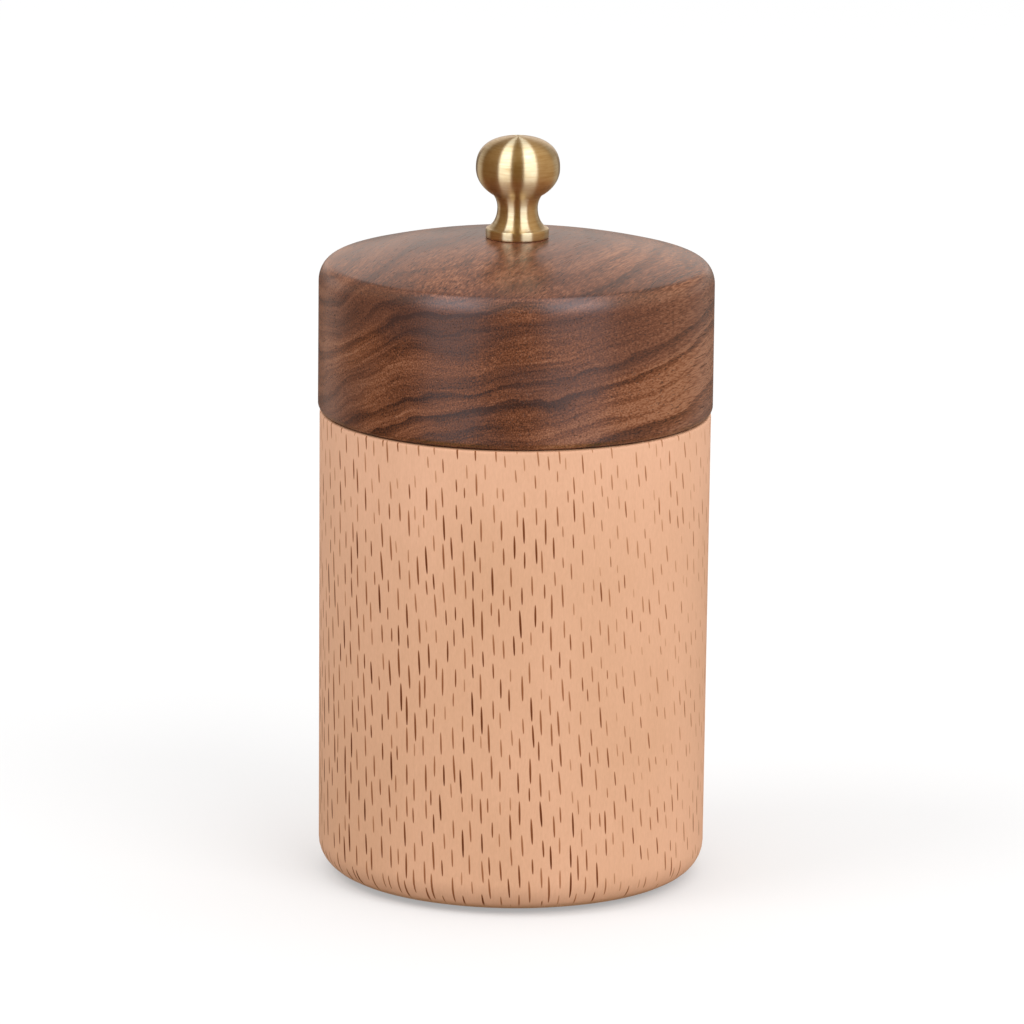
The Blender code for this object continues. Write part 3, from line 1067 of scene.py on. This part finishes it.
@dataclass
class Seal:
    """The silicone ring round the neck."""

    lathe: Lathe
    inner_radius: float = 22.92 * MM
    outer_radius: float = 24.74 * MM
    low_z: float = 69.0 * MM
    height: float = 1.8 * MM
    crown: float = 0.55 * MM
    facets: int = 192

    def outline(self) -> list[Point]:
        """A flat back, and a front with two low lips.

        Returns:
            The points (r, z).
        """
        top = self.low_z + self.height
        lip = self.height / 4
        valley = self.outer_radius - self.crown
        low_lip, high_lip = (
            arc((valley, z), (self.crown, lip), -math.pi / 2, math.pi / 2, 10)
            for z in (self.low_z + lip, top - lip)
        )
        back = self.inner_radius
        return [(back, self.low_z)] + low_lip + high_lip[1:] + [(back, top)]

    def build(self, silicone: Material) -> None:
        """Makes the ring."""
        ring = self.lathe.turn("neck_seal", self.outline(), silicone, self.facets)
        settle(ring, Body.SEAL, "seal_ring")


@dataclass
class Lid:
    """The walnut lid: a socket over the neck, a recess for the picks' tips and a low dome.

    Its upper edge is rounded in an ellipse, edge_round across and edge_drop down.
    """

    lathe: Lathe
    radius: float = 28.0 * MM
    mouth_z: float = 67.15 * MM
    mouth_round: float = 1.0 * MM
    edge_round: float = 2.34 * MM
    edge_drop: float = 3.0 * MM
    dome_radius: float = 98.95 * MM
    dome_z: float = -6.89 * MM
    flat_radius: float = 4.48 * MM
    hole_radius: float = 1.8 * MM
    counterbore_radius: float = 4.5 * MM
    counterbore_z: float = 83.4 * MM
    recess_radius: float = 20.5 * MM
    recess_z: float = 78.4 * MM
    recess_round: float = 2.0 * MM
    socket_radius: float = 24.8 * MM
    socket_z: float = 73.1 * MM
    socket_lead: float = 0.5 * MM
    crisp: float = 0.12 * MM
    facets: int = 288
    halvings: int = 40

    def dome_at(self, radius: float) -> float:
        """Height of the dome at this radius."""
        return self.dome_z + math.sqrt(self.dome_radius**2 - radius**2)

    def seat_z(self) -> float:
        """Height of the flat that the knob stands on."""
        return self.dome_at(self.flat_radius)

    def edge_centre(self) -> tuple[float, float, float]:
        """Where the upper edge's ellipse has its middle, found by halving.

        Returns:
            Radius and height of the middle, and the ellipse's angle where it meets the dome.
        """
        middle_r = self.radius - self.edge_round
        low, high = 0.0, math.pi / 2
        for _ in range(self.halvings):
            turned = (low + high) / 2
            join = middle_r + self.edge_round * math.cos(turned)
            slope = math.sqrt(self.dome_radius**2 - join**2) / join
            if math.tan(turned) * self.edge_round / self.edge_drop < slope:
                low = turned
            else:
                high = turned
        return middle_r, self.dome_at(join) - self.edge_drop * math.sin(turned), turned

    def outline(self) -> list[Point]:
        """From the screw hole across the recess, down the socket and up over the dome.

        Returns:
            The points (r, z).
        """
        edge_r, edge_z, turned = self.edge_centre()
        join = edge_r + self.edge_round * math.cos(turned)
        leave = math.acos(join / self.dome_radius)
        flat = math.acos(self.flat_radius / self.dome_radius)
        round_edge = arc((edge_r, edge_z), (self.edge_round, self.edge_drop), 0, turned, 18)
        dome = arc((0, self.dome_z), (self.dome_radius, self.dome_radius), leave, flat, 24)
        corners = [
            Corner(self.hole_radius, self.counterbore_z),
            Corner(self.counterbore_radius, self.counterbore_z, self.crisp),
            Corner(self.counterbore_radius, self.recess_z, 2 * self.crisp),
            Corner(self.recess_radius, self.recess_z, self.recess_round),
            Corner(self.recess_radius, self.socket_z, 2 * self.crisp),
            Corner(self.socket_radius, self.socket_z, 2 * self.crisp),
            Corner(self.socket_radius, self.mouth_z, self.socket_lead),
            Corner(self.radius, self.mouth_z, self.mouth_round),
            Corner(self.radius, edge_z - self.crisp),
        ]
        flat_edges = (self.flat_radius - self.crisp, self.hole_radius)
        seat = [(radius, self.seat_z()) for radius in flat_edges]
        return eased(corners, steps=8) + round_edge + dome[1:] + seat

    def build(self, walnut: Material) -> None:
        """Makes the lid."""
        lid = self.lathe.turn("lid_shell", self.outline(), walnut, self.facets)
        settle(lid, Body.LID, "walnut_lid")


@dataclass
class Knob:
    """The brass knob: a flattened ball on a waisted neck with a round foot."""

    lathe: Lathe
    seat_z: float
    flange_radius: float = 4.48 * MM
    rim_top_z: float = 93.36 * MM
    rim_round: float = 0.26 * MM
    flare_rise: float = 2.83 * MM
    flare_sweep: float = 72 * DEGREE
    waist_radius: float = 2.85 * MM
    cove_rise: float = 1.87 * MM
    cove_sweep: float = 42 * DEGREE
    ball_radius: float = 5.94 * MM
    ball_underside: float = 4.65 * MM
    ball_crown: float = 4.519 * MM
    ball_sweep: float = 54.4 * DEGREE
    crown_squareness: float = 2.45
    crown_steps: int = 36
    crown_crowding: float = 1.25
    hole_radius: float = 1.55 * MM
    hole_top_z: float = 102.4 * MM
    drill_point: float = 59 * DEGREE
    facets: int = 160

    def crown(self, ball_z: float) -> list[Point]:
        """The squarish upper half of the ball, from its top to its widest part.

        Args:
            ball_z: Height of the widest part.

        Returns:
            The points (r, z).
        """
        power = 2 / self.crown_squareness
        points = [(0.0, ball_z + self.ball_crown)]
        for step in range(1, self.crown_steps + 1):
            angle = math.pi / 2 * (1 - step / self.crown_steps) ** self.crown_crowding
            radius = self.ball_radius * max(math.cos(angle), 0.0) ** power
            points.append((radius, ball_z + self.ball_crown * math.sin(angle) ** power))
        return points

    def hollow(self, rise: float, reach: float, sweep: float) -> Point:
        """Half-axes of a hollow curve that starts upright at the waist.

        Args:
            rise: How far it goes up or down.
            reach: How far it goes out.
            sweep: Angle that it turns through.

        Returns:
            The half-axes across and up.
        """
        return reach / (1 - math.cos(sweep)), rise / math.sin(sweep)

    def outline(self) -> list[Point]:
        """From the top of the ball down to the flange, and back up the tapped hole.

        Returns:
            The points (r, z).
        """
        waist_z = self.rim_top_z + self.flare_rise
        ball_z = waist_z + self.cove_rise + self.ball_underside * math.sin(self.ball_sweep)
        ball = (self.ball_radius, self.ball_underside)
        under = arc((0, ball_z), ball, 0, -self.ball_sweep, 20)
        reach = self.ball_radius * math.cos(self.ball_sweep) - self.waist_radius
        halves = self.hollow(self.cove_rise, reach, self.cove_sweep)
        middle = (self.waist_radius + halves[0], waist_z)
        cove = arc(middle, halves, math.pi - self.cove_sweep, math.pi, 14)
        ease = self.rim_round
        reach = self.flange_radius - ease - self.waist_radius
        halves = self.hollow(self.flare_rise, reach, self.flare_sweep)
        middle = (self.waist_radius + halves[0], waist_z)
        flare = arc(middle, halves, math.pi, math.pi + self.flare_sweep, 20)
        edge = self.flange_radius - ease
        rim = arc((edge, self.rim_top_z - ease), (ease, ease), math.pi / 2, 0, 6)
        foot = arc((edge, self.seat_z + ease), (ease, ease), 0, -math.pi / 2, 4)
        point_z = self.hole_top_z + self.hole_radius / math.tan(self.drill_point)
        hole = [(self.hole_radius, z) for z in (self.seat_z, self.hole_top_z)] + [(0.0, point_z)]
        return self.crown(ball_z) + under[1:] + cove[1:] + flare[1:] + rim[1:] + foot + hole

    def build(self, brass: Material) -> None:
        """Makes the knob."""
        knob = self.lathe.turn("lid_knob", self.outline(), brass, self.facets)
        settle(knob, Body.LID, "brass_knob")


@dataclass
class Fastening:
    """The screw and washers that hold the knob from inside the lid."""

    lathe: Lathe
    thread: NodeTree
    seat_z: float = 83.4 * MM
    hole_radius: float = 1.7 * MM
    flat_radius: float = 3.5 * MM
    flat_thickness: float = 0.5 * MM
    spring_radius: float = 3.1 * MM
    spring_thickness: float = 0.8 * MM
    spring_rise: float = 0.35 * MM
    spring_sweep: float = 346 * DEGREE
    head_radius: float = 2.8 * MM
    head_height: float = 2.4 * MM
    head_round: float = 1.2 * MM
    crest_radius: float = 1.5 * MM
    root_radius: float = 1.19 * MM
    pitch: float = 0.5 * MM
    tip_z: float = 101.1 * MM
    thread_overlap: float = 0.3 * MM
    cross_span: float = 1.45 * MM
    cross_foot: float = 0.65 * MM
    cross_width: float = 0.42 * MM
    cross_narrowing: float = 0.7
    cross_depth: float = 1.5 * MM
    cross_stand: float = 0.3 * MM
    crisp: float = 0.08 * MM
    washer_facets: int = 96
    head_facets: int = 64
    thread_facets: int = 32

    def washer(self, inner: float, outer: float, top: float, thickness: float) -> list[Point]:
        """Section of a flat ring with eased edges.

        Args:
            inner: Radius of its hole.
            outer: Outer radius.
            top: Height of its upper face.
            thickness: How thick it is.

        Returns:
            The points (r, z).
        """
        low = top - thickness
        middle = Corner((inner + outer) / 2, top)
        edges = [(outer, top), (outer, low), (inner, low), (inner, top)]
        corners = [middle, *(Corner(r, z, self.crisp) for r, z in edges), middle]
        return eased(corners, steps=3, guard=self.crisp)[:-1]

    def head_outline(self, seat: float) -> list[Point]:
        """From the middle of the underside, out to the rim and round to the middle of the face.

        Args:
            seat: Height of the underside of the head.

        Returns:
            The points (r, z).
        """
        face = seat - self.head_height
        corners = [
            Corner(0.0, seat),
            Corner(self.head_radius, seat, self.crisp),
            Corner(self.head_radius, face, self.head_round),
            Corner(0.0, face),
        ]
        return eased(corners, steps=8)

    def cross_cutter(self, face: float) -> Object:
        """A tapered cross that stands in the head's face, to cut its recess.

        Args:
            face: Height of the head's face.

        Returns:
            The cutter.
        """
        half = self.cross_width / 2
        bm = bmesh.new()
        rings = []
        for z, span, wide in (
            (face - self.cross_stand, self.cross_span, half),
            (face + self.cross_depth, self.cross_foot, half * self.cross_narrowing),
        ):
            corners = ((span, -wide), (span, wide), (wide, wide))
            spots = [Vector((*corner, z)) for corner in corners]
            turns = [Matrix.Rotation(arm * math.pi / 2, 3, "Z") for arm in range(4)]
            rings.append([bm.verts.new(turn @ spot) for turn in turns for spot in spots])
        bm.faces.new(rings[0][::-1])
        bm.faces.new(rings[1])
        for index, (low, high) in enumerate(zip(*rings)):
            after = (index + 1) % len(rings[0])
            bm.faces.new((low, rings[0][after], rings[1][after], high))
        bmesh.ops.recalc_face_normals(bm, faces=bm.faces)
        return shown("cross_cutter", as_mesh(bm, bpy.data.meshes.new("cross_cutter")))

    def screw(self, seat: float, zinc: Material) -> Object:
        """Makes the screw: a rounded head with a cross recess, and a thread up to the tip.

        Args:
            seat: Height of the underside of the head.
            zinc: Its finish.

        Returns:
            The screw.
        """
        head = self.lathe.turn("knob_screw_m3", self.head_outline(seat), zinc, self.head_facets)
        cutter = self.cross_cutter(seat - self.head_height)
        cut = head.modifiers.new("cross", "BOOLEAN")
        cut.object = cutter
        cut.solver = "EXACT"
        shaped = applied(head)
        bpy.data.objects.remove(cutter)
        low = seat - self.thread_overlap
        values = {
            "Steps": self.thread_facets,
            "Turns": math.ceil((self.tip_z - low) / self.pitch),
            "Pitch": self.pitch,
            "Crest": self.crest_radius,
            "Root": self.root_radius,
            "Low": low,
            "High": self.tip_z,
            "Weld": WELD,
            "Finish": zinc,
        }
        seed = bpy.data.meshes.new("thread_seed")
        shank = grown("knob_screw_thread", seed, self.thread, values)
        bm = bmesh.new()
        bm.from_mesh(shaped)
        bm.from_mesh(shank.data)
        as_mesh(bm, head.data)
        bpy.data.objects.remove(shank)
        tidy_mesh(head.data)
        return head

    def build(self, zinc: Material) -> None:
        """Makes the three pieces, from the counterbore down.

        Args:
            zinc: Their finish.
        """
        facets = self.washer_facets
        flat = self.washer(self.hole_radius, self.flat_radius, self.seat_z, self.flat_thickness)
        ring = self.lathe.turn("knob_washer", flat, zinc, facets)
        settle(ring, Body.LID, "flat_washer")
        top = self.seat_z - self.flat_thickness - self.spring_rise
        spring = self.washer(self.hole_radius, self.spring_radius, top, self.spring_thickness)
        coil = (self.spring_sweep, self.spring_rise)
        ring = self.lathe.turn("knob_lock_washer", spring, zinc, facets, *coil)
        settle(ring, Body.LID, "spring_washer")
        screw = self.screw(top - self.spring_thickness, zinc)
        settle(screw, Body.LID, "knob_screw")


# Studio


@dataclass(frozen=True)
class Softbox:
    """A large soft lamp, aimed at the jar, that glossy surfaces don't mirror."""

    name: str
    azimuth: float
    elevation: float
    distance: float
    width: float
    light: float

    def place(self, target: Vector) -> None:
        """Adds the lamp.

        Args:
            target: The point that it faces.
        """
        data = bpy.data.lights.new(self.name, "AREA")
        data.shape = "DISK"
        data.size = self.width
        data.energy = self.light * math.pi**2 * self.distance**2
        lamp = shown(self.name, data)
        flat = math.cos(self.elevation)
        ahead = -math.cos(self.azimuth) * flat
        way = Vector((math.sin(self.azimuth) * flat, ahead, math.sin(self.elevation)))
        lamp.location = target + way * self.distance
        lamp.rotation_euler = way.to_track_quat("Z", "Y").to_euler()
        lamp.visible_camera = False
        lamp.visible_glossy = False
        azimuth = math.degrees(self.azimuth)
        log.info("%s: light %.2f at azimuth %.0f degrees", self.name, self.light, azimuth)


@dataclass
class Studio:
    """The pale floor, the lamps, the surroundings and the camera.

    The horizon is what glossy surfaces mirror: spans in degrees from the front, negative to the
    left, with their colours. The two bright ones are the strips of light.
    """

    target: Vector
    floor_radius: float = 4.0
    floor_gap: float = 0.03 * MM
    floor_facets: int = 96
    floor_shade: float = 0.50
    floor_cloud: Colour = (0.52, 0.52, 0.52)
    floor_glow: float = 0.352
    ambient: float = 0.52
    overhead: float = 0.80
    rightward: float = 0.20
    strip_level: float = 1.8
    strip_rise: float = 1.4
    fill_tint: Colour = (0.11, 0.09, 0.06)
    strip_fade: float = 0.16
    fill_fade: float = 0.55
    back_level: float = 0.80
    back_tint: Colour = (1.0, 0.88, 0.80)
    low_tint: Colour = (0.80, 0.51, 0.12)
    softboxes: tuple[Softbox, ...] = (
        Softbox("softbox_left", -65 * DEGREE, 50 * DEGREE, 3.0, 1.6, 0.24),
        Softbox("softbox_right", 38 * DEGREE, 40 * DEGREE, 3.0, 2.2, 0.32),
    )
    horizon: tuple[tuple[float, float, Colour], ...] = (
        (-166, -153, (0.16, 0.13, 0.11)),
        (-146, -128, (0.56, 0.51, 0.47)),
        (-112, -57, (0.20, 0.12, 0.055)),
        (-52, -22, (1.44, 1.54, 1.70)),
        (-18, 15, (0.18, 0.11, 0.03)),
        (19, 52, (1.44, 1.54, 1.70)),
        (58, 112, (0.47, 0.34, 0.21)),
        (128, 146, (0.46, 0.41, 0.36)),
        (153, 166, (0.25, 0.21, 0.18)),
    )
    camera_distance: float = 1100 * MM
    camera_elevation: float = 12.915 * DEGREE
    camera_roll: float = -0.62 * DEGREE
    camera_aim: Point = (-0.318 * MM, 52.136 * MM)
    camera_focal_pixels: float = 7732.0
    camera_reach: float = 20.0

    def floor(self) -> None:
        """Adds the floor, which shows white to the camera and keeps the jar's shadow."""
        bm = bmesh.new()
        facets, radius = self.floor_facets, self.floor_radius
        bmesh.ops.create_circle(bm, cap_ends=True, segments=facets, radius=radius)
        bmesh.ops.translate(bm, verts=bm.verts, vec=(0.0, 0.0, -self.floor_gap))
        floor = shown("floor", as_mesh(bm, bpy.data.meshes.new("floor")))
        material, graph = new_material("floor_white")
        path = graph.add("ShaderNodeLightPath")
        place = graph.parts(graph.add("ShaderNodeTexCoord")["Object"])
        shade = (self.floor_shade,) * 3
        cloud = graph.noise(place, (1.0, 1.0, 1.0))
        tone = graph.blend(cloud * 0.02, self.floor_cloud, shade)
        paint = graph.add("ShaderNodeBsdfDiffuse", {"Color": tone})["BSDF"]
        weak = graph.add("ShaderNodeBsdfDiffuse", {"Color": (*shade, 1.0)})["BSDF"]
        values = {"Color": (*WHITE, 1.0), "Strength": self.floor_glow}
        glow = graph.add("ShaderNodeEmission", values)["Emission"]
        seen = graph.add("ShaderNodeAddShader", {0: weak, 1: glow})["Shader"]
        values = {0: path["Is Camera Ray"], 1: paint, 2: seen}
        mixed = graph.add("ShaderNodeMixShader", values)["Shader"]
        graph.add("ShaderNodeOutputMaterial", {"Surface": mixed})
        floor.data.materials.append(material)
        floor.visible_glossy = False
        floor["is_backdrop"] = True

    def mirrored(self, graph: Graph, x: Wire, y: Wire, z: Wire) -> tuple[Wire, Wire]:
        """What glossy surfaces see: two strips of light, dim sides and a pale back.

        Directions are sorted by the side of a turned piece that mirrors them to the camera, so
        that the strips show as upright bands.

        Args:
            graph: The world's graph.
            x: The direction's part to the right.
            y: Its part to the back.
            z: Its part upwards.

        Returns:
            The colour and the strength.
        """
        turn = graph.math("ARCTAN2", x, math.cos(self.camera_elevation) - y) / math.pi + 0.5
        stops = [
            ((angle + 180) / 360, tuple(part / self.strip_level for part in tint))
            for start, end, tint in self.horizon
            for angle in (start, end)
        ]
        around = graph.add("ShaderNodeValToRGB", {"Fac": turn}, stops=stops)["Color"]
        strip = graph.parts(around)[2].ramp(0.6, 0.95)
        rear = y.ramp(0.5, 0.78) * z.ramp(-0.05, 0.12) * z.ramp(0.62, 0.45)
        rear = rear * x.absolute().ramp(0.45, 0.25)
        around = graph.blend(z.ramp(-0.1, -0.8), around, self.low_tint, "MULTIPLY")
        around = graph.blend(z.ramp(0.1, 0.9) * (1.0 - strip), around, self.fill_tint, "ADD")
        rise = z.ramp(0.05, 0.85) * strip * (self.strip_rise - 1.0) + 1.0
        far = y.ramp(0.25, 0.6) * z.ramp(0.1, 0.4)
        kept = strip * (self.strip_fade - self.fill_fade) + self.fill_fade
        shine = rise * (1.0 - far * (1.0 - kept)) * self.strip_level
        shine = shine + rear * (self.back_level - shine)
        return graph.blend(rear, around, self.back_tint), shine

    def surroundings(self) -> None:
        """Sets the world: white to the camera, plain soft light, and what glossy surfaces see."""
        world = bpy.data.worlds.new("studio")
        world.use_nodes = True
        world.cycles.sampling_method = "NONE"
        bpy.context.scene.world = world
        graph = Graph(world.node_tree)
        path = graph.add("ShaderNodeLightPath")
        x, y, z = graph.parts(graph.add("ShaderNodeTexCoord")["Generated"])
        colour, shine = self.mirrored(graph, x, y, z)
        lit = z.at_least(0.0) * self.overhead + x * self.rightward + self.ambient
        shiny = path["Is Glossy Ray"]
        plain = path["Is Camera Ray"].at_least(path["Is Transmission Ray"])
        level = lit + shiny * (shine - lit)
        level = level + plain * (1.0 - level)
        values = {"Color": graph.blend(shiny, WHITE, colour), "Strength": level}
        back = graph.add("ShaderNodeBackground", values)["Background"]
        graph.add("ShaderNodeOutputWorld", {"Surface": back})

    def camera(self) -> None:
        """Adds the camera at the photograph's viewing angle."""
        rise, roll = self.camera_elevation, self.camera_roll
        right = Vector((1.0, 0.0, 0.0))
        up = Vector((0.0, math.sin(rise), math.cos(rise)))
        back = Vector((0.0, -math.cos(rise), math.sin(rise)))
        across = right * math.cos(roll) - up * math.sin(roll)
        above = right * math.sin(roll) + up * math.cos(roll)
        aim = Vector((self.camera_aim[0], 0.0, self.camera_aim[1]))
        data = bpy.data.cameras.new("camera")
        data.sensor_width = SENSOR_MM
        data.lens = self.camera_focal_pixels / IMAGE_PIXELS * SENSOR_MM
        data.clip_end = self.camera_reach
        camera = shown("camera", data)
        turn = Matrix((across, above, back)).transposed().to_4x4()
        camera.matrix_world = Matrix.Translation(aim + back * self.camera_distance) @ turn
        bpy.context.scene.camera = camera

    def build(self) -> None:
        """Sets up the whole studio."""
        self.floor()
        self.surroundings()
        self.camera()
        for softbox in self.softboxes:
            softbox.place(self.target)
        bpy.context.scene.view_settings.view_transform = "Standard"


def main() -> None:
    """Builds the pieces in order, then the studio, aimed at the middle height of what was built."""
    logging.basicConfig(level=logging.INFO, format="%(name)s %(message)s")
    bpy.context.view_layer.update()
    finishes = (Beech(), Walnut(), BRASS, ZINC, SILICONE, RUBBER)
    beech, walnut, brass, zinc, silicone, rubber = (finish.material() for finish in finishes)
    lathe = Lathe(turning_tree())
    Jar(lathe).build(beech, rubber)
    Seal(lathe).build(silicone)
    lid = Lid(lathe)
    lid.build(walnut)
    Knob(lathe, lid.seat_z()).build(brass)
    Fastening(lathe, thread_tree()).build(zinc)
    low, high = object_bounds()
    Studio(Vector((0.0, 0.0, (low[2] + high[2]) / 2))).build()


if __name__ == "__main__":
    main()
